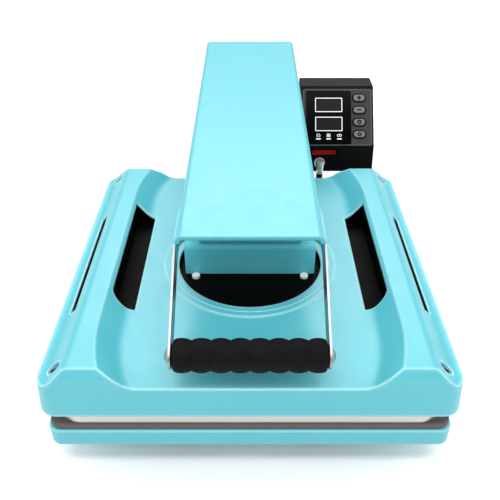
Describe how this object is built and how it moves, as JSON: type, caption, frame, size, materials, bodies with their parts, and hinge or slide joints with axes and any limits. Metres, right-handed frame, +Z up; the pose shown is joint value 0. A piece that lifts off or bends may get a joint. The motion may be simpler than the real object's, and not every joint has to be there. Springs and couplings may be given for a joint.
{
  "type": "flat heat press",
  "caption": "Clamshell flat heat press: a square heated platen under a ridged moulded cover, a padded lower plate, toggle lever with foam grip, and a side control box.",
  "frame": {"origin": "middle of the object's footprint on the table, under the feet", "axes": "+Y from the grip at the front to the hinge at the rear, +X to the control box's side, +Z up"},
  "size_m": [0.3974, 0.6288, 0.2291],
  "materials": {
    "teal_paint": "semi-gloss powder coat",
    "teal_plate": "semi-gloss powder coat on a cast aluminium plate",
    "teal_moulding": "smooth moulded, semi-gloss",
    "black_paint": "satin powder coat",
    "black_plastic": "fine matt grain",
    "black_rubber": "matt rubber",
    "foam": "closed-cell foam, matt",
    "silicone": "matt silicone sponge",
    "steel": "zinc-plated steel",
    "bronze": "plain bearing bronze",
    "platen_aluminium": "cast and machined, slightly satin",
    "insulation": "pressed fibre board",
    "panel_grey": "matt film over a plastic plate",
    "display_black": "polished acrylic",
    "display_dark": "tinted display window",
    "lamp_white": "translucent lens",
    "board_green": "printed circuit board",
    "button_grey": "silicone key",
    "rocker_red": "translucent red plastic",
    "chrome": "plated brass"
  },
  "bodies": {
    "base": {"left_rail": "black_paint", "right_rail": "black_paint", "front_cross_tube": "black_paint", "rear_cross_tube": "black_paint", "rail_caps": "black_plastic", "rubber_feet": "black_rubber", "lower_plate": "teal_plate", "silicone_pad": "silicone", "upright_foot_plate": "black_paint", "foot_plate_bolts": "steel", "left_upright": "black_paint", "right_upright": "black_paint", "hinge_pin": "steel", "hinge_bushes": "bronze", "anchor_block": "steel", "anchor_pin": "steel", "link_spacers": "steel", "nut_plate": "steel"},
    "head": {"heat_platen": "platen_aluminium", "heating_element": "steel", "temperature_sensor": "steel", "insulation_board": "insulation", "heater_top_plate": "black_paint", "top_plate_screws": "steel", "heat_shield_cover": "teal_moulding", "cover_posts": "steel", "cover_screws": "steel", "vent_liners": "black_plastic", "side_baffles": "black_plastic", "platen_bracket": "teal_paint", "bracket_bolts": "steel", "platen_arm": "teal_paint", "lever_pivot_pin": "steel", "pivot_bushes": "bronze", "box_bracket": "black_paint", "box_bolts": "steel", "control_box": "black_paint", "control_panel": "panel_grey", "display_bezel": "display_black", "digit_displays": "display_dark", "indicator_lamps": "lamp_white", "circuit_board": "board_green", "rocker_frame": "black_plastic", "lead_socket": "chrome", "lead_plug": "chrome", "heater_lead": "black_rubber"},
    "pressure_set": {"pressure_screw": "steel", "pressure_knob": "black_plastic"},
    "plus_key": {"plus_button": "button_grey"},
    "minus_key": {"minus_button": "button_grey"},
    "timer_key": {"timer_button": "button_grey"},
    "power_key": {"power_button": "button_grey"},
    "rocker": {"rocker_switch": "rocker_red"},
    "lever": {"lever_arm": "teal_paint", "handle_bars": "steel", "bar_bolts": "steel", "handle_rod": "steel", "foam_grip": "foam", "toggle_pins": "steel"},
    "links": {"toggle_links": "steel"}
  },
  "joints": [
    {"name": "head_hinge", "type": "hinge", "parent": "base", "child": "head", "pos_m": [0, 0.25605, 0.14], "axis": [-1, 0, 0], "range_deg": [0, 55]},
    {"name": "lever_pivot", "type": "hinge", "parent": "head", "child": "lever", "pos_m": [0, -0.03595, 0.185], "axis": [-1, 0, 0], "range_deg": [0, 3.2]},
    {"name": "link_pivot", "type": "hinge", "parent": "base", "child": "links", "pos_m": [0, 0.29205, 0.178], "axis": [1, 0, 0], "range_deg": [0, 61.6]},
    {"name": "pressure_turn", "type": "hinge", "parent": "base", "child": "pressure_set", "pos_m": [0, 0.29205, 0.09], "axis": [0, 0, 1], "continuous": true},
    {"name": "plus_press", "type": "slide", "parent": "head", "child": "plus_key", "axis": [0, 0.7664, -0.6424], "range_m": [0, 0.0015], "stiffness_N_per_m": 400},
    {"name": "minus_press", "type": "slide", "parent": "head", "child": "minus_key", "axis": [0, 0.7664, -0.6424], "range_m": [0, 0.0015], "stiffness_N_per_m": 400},
    {"name": "timer_press", "type": "slide", "parent": "head", "child": "timer_key", "axis": [0, 0.7664, -0.6424], "range_m": [0, 0.0015], "stiffness_N_per_m": 400},
    {"name": "power_press", "type": "slide", "parent": "head", "child": "power_key", "axis": [0, 0.7664, -0.6424], "range_m": [0, 0.0015], "stiffness_N_per_m": 400},
    {"name": "rocker_tip", "type": "hinge", "parent": "head", "child": "rocker", "pos_m": [0.105, 0.1191, 0.13263], "axis": [0, -0.1777, -0.9841], "range_deg": [0, 14]}
  ],
  "couplings": [
    {"joint": "lever_pivot", "follows": "head_hinge", "ratio": 0.057508},
    {"joint": "link_pivot", "follows": "head_hinge", "ratio": 1.119}
  ]
}
